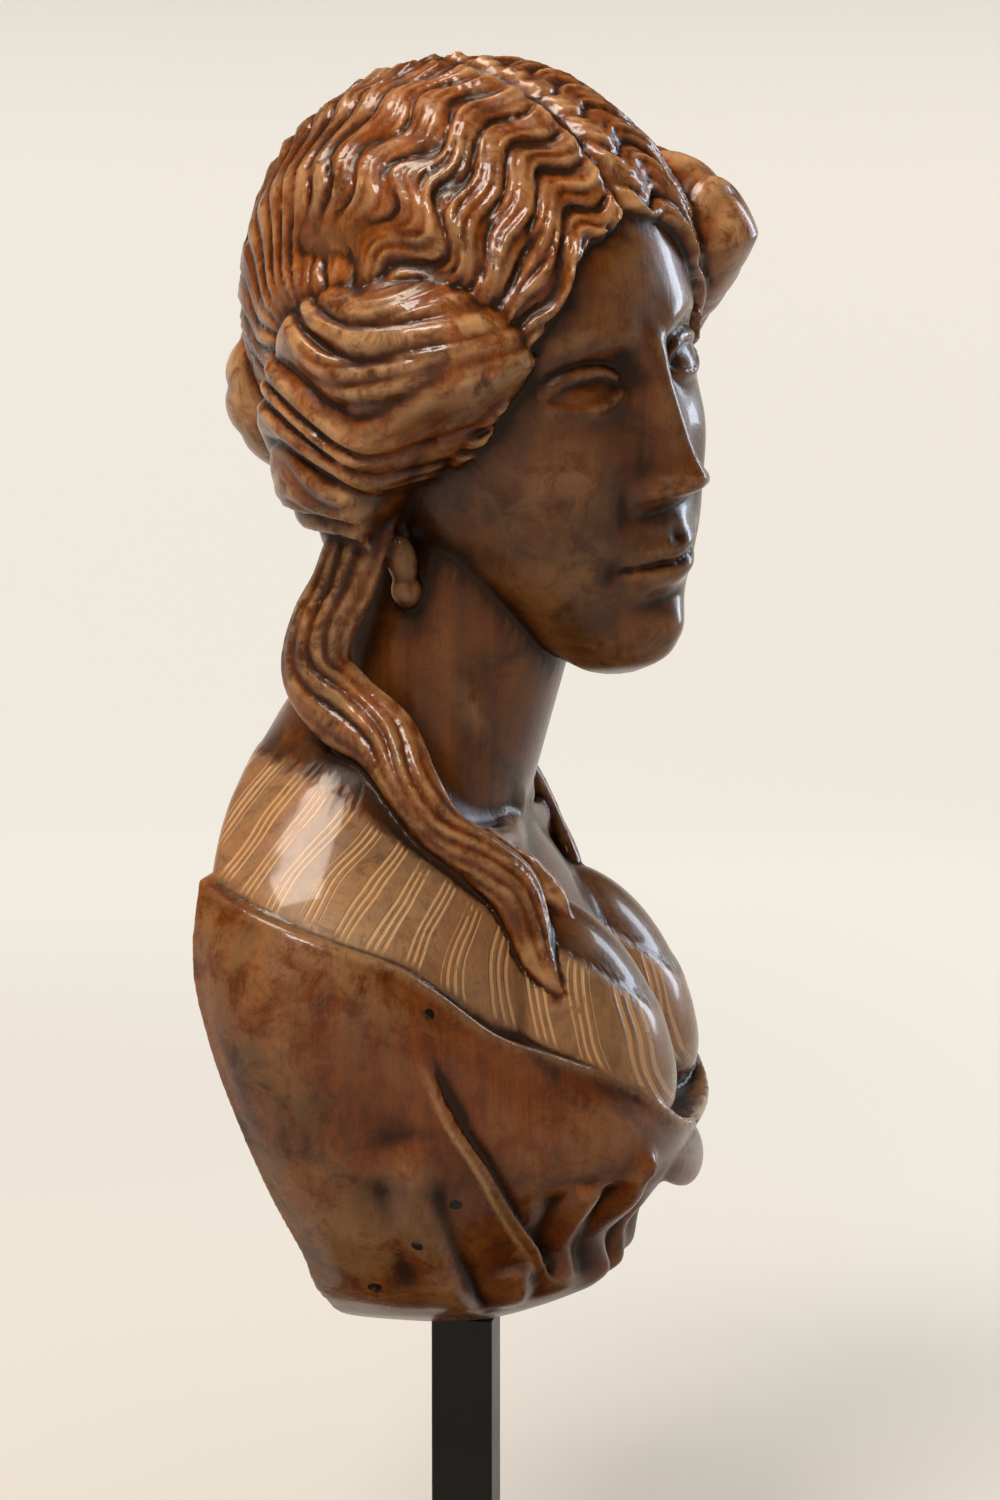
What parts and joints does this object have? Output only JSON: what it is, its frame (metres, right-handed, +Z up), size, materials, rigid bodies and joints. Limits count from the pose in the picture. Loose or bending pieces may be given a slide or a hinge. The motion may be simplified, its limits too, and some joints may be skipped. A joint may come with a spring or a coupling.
{
  "type": "ship figurehead",
  "caption": "Carved wooden figurehead bust of a draped figure with waved, rolled hair, standing on a slim square post with a flat foot.",
  "frame": {"origin": "centre of the foot plate's underside, on the post's axis", "axes": "+Z up along the post; the chest faces -Y; the figure's right side is -X"},
  "size_m": [0.285, 0.26, 0.6729],
  "materials": {
    "varnished_wood": "old glossy varnish over carved wood, darker in the grooves",
    "black_paint": "satin black paint"
  },
  "bodies": {
    "root": {"bust": "varnished_wood", "post": "black_paint", "foot": "black_paint"}
  },
  "joints": []
}
